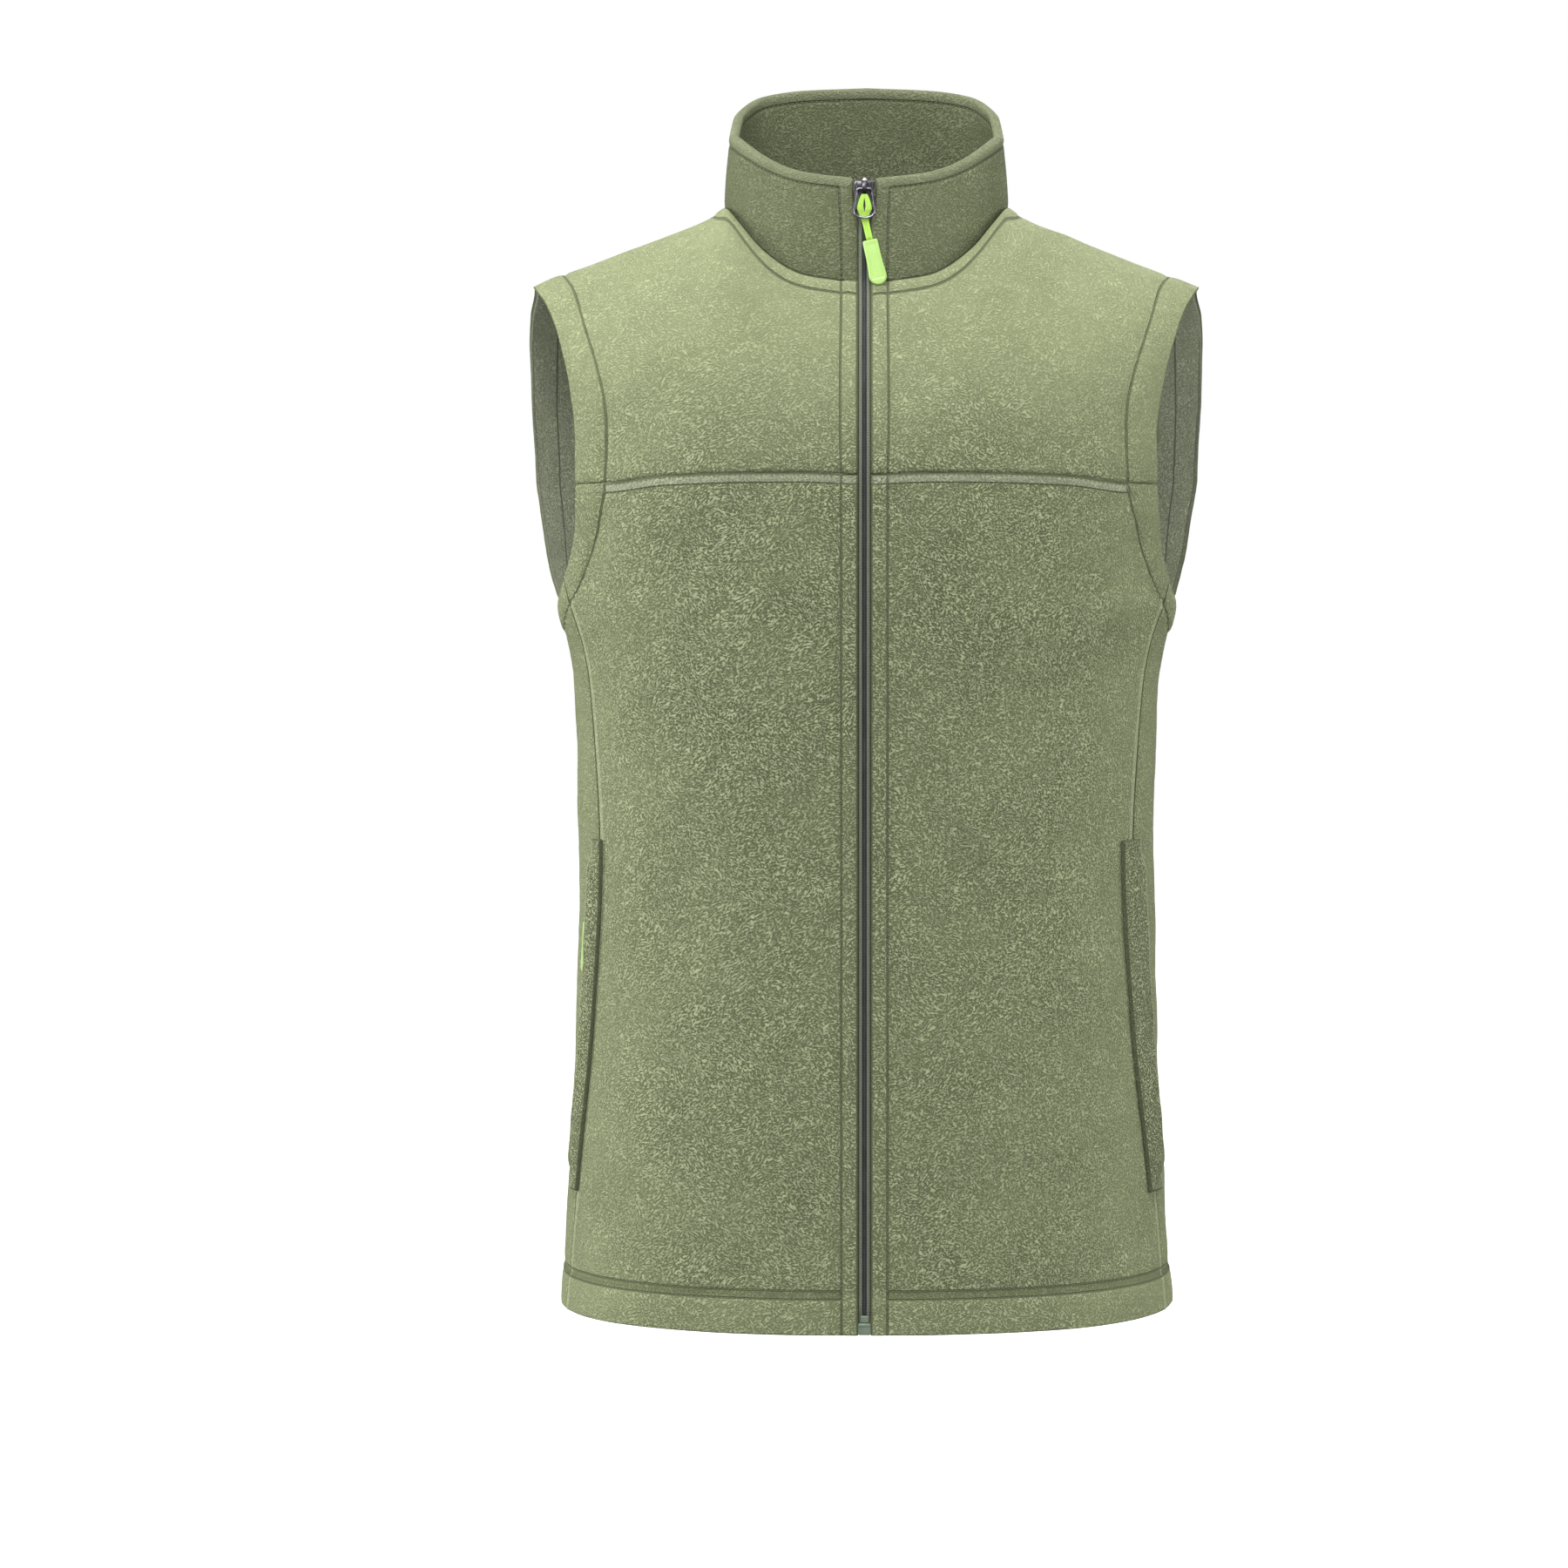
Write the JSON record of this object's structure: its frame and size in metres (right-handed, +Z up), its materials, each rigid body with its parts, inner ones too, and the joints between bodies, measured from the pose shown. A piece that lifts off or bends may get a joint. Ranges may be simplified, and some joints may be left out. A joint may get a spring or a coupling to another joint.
{
  "type": "fleece vest",
  "caption": "Sleeveless zip-front fleece vest with a stand collar, front yoke and zipped side pockets, filled out as if worn and hollow inside.",
  "frame": {"origin": "midway between the two side-neck points, level with them, where a wearer's shoulders hold the vest", "axes": "+Z up from the hem to the neck, -Y out of the zipped front, +X to the wearer's left"},
  "size_m": [0.4338, 0.2637, 0.7721],
  "materials": {
    "fleece": "sage green knitted fleece with a short pilled nap",
    "collar_fleece": "the same fleece, doubled, with a rolled and stitched top edge",
    "welt_fleece": "the same fleece, folded and stitched",
    "zip_tape": "dark olive woven zip tape",
    "zip_coil": "dark slate nylon coil",
    "zip_end": "moulded box and pin, muted green",
    "gunmetal": "dark gunmetal plating, semi-gloss",
    "lime_cord": "bright lime moulded strap",
    "lime_grip": "bright lime moulded grip, soft satin"
  },
  "bodies": {
    "vest": {"front_left": "fleece", "front_right": "fleece", "yoke_left": "fleece", "yoke_right": "fleece", "back": "fleece", "collar": "collar_fleece", "welt_left": "welt_fleece", "welt_right": "welt_fleece", "pocket_zip_left": "zip_tape", "pocket_zip_right": "zip_tape", "pocket_slider_left": "gunmetal", "pocket_slider_right": "gunmetal", "pocket_pull_left": "lime_grip", "pocket_pull_right": "lime_grip", "zip_tape_left": "zip_tape", "zip_tape_right": "zip_tape", "zip_coil": "zip_coil", "zip_retainer": "zip_end", "zip_slider": "gunmetal"},
    "zip_pull": {"zip_bail": "gunmetal", "zip_loop": "lime_cord", "zip_grip": "lime_grip"}
  },
  "joints": [
    {"name": "pull_hinge", "type": "hinge", "parent": "vest", "child": "zip_pull", "pos_m": [-0.0012, -0.08366, 0.0076], "axis": [-1, 0, 0], "range_deg": [0, 135]}
  ]
}
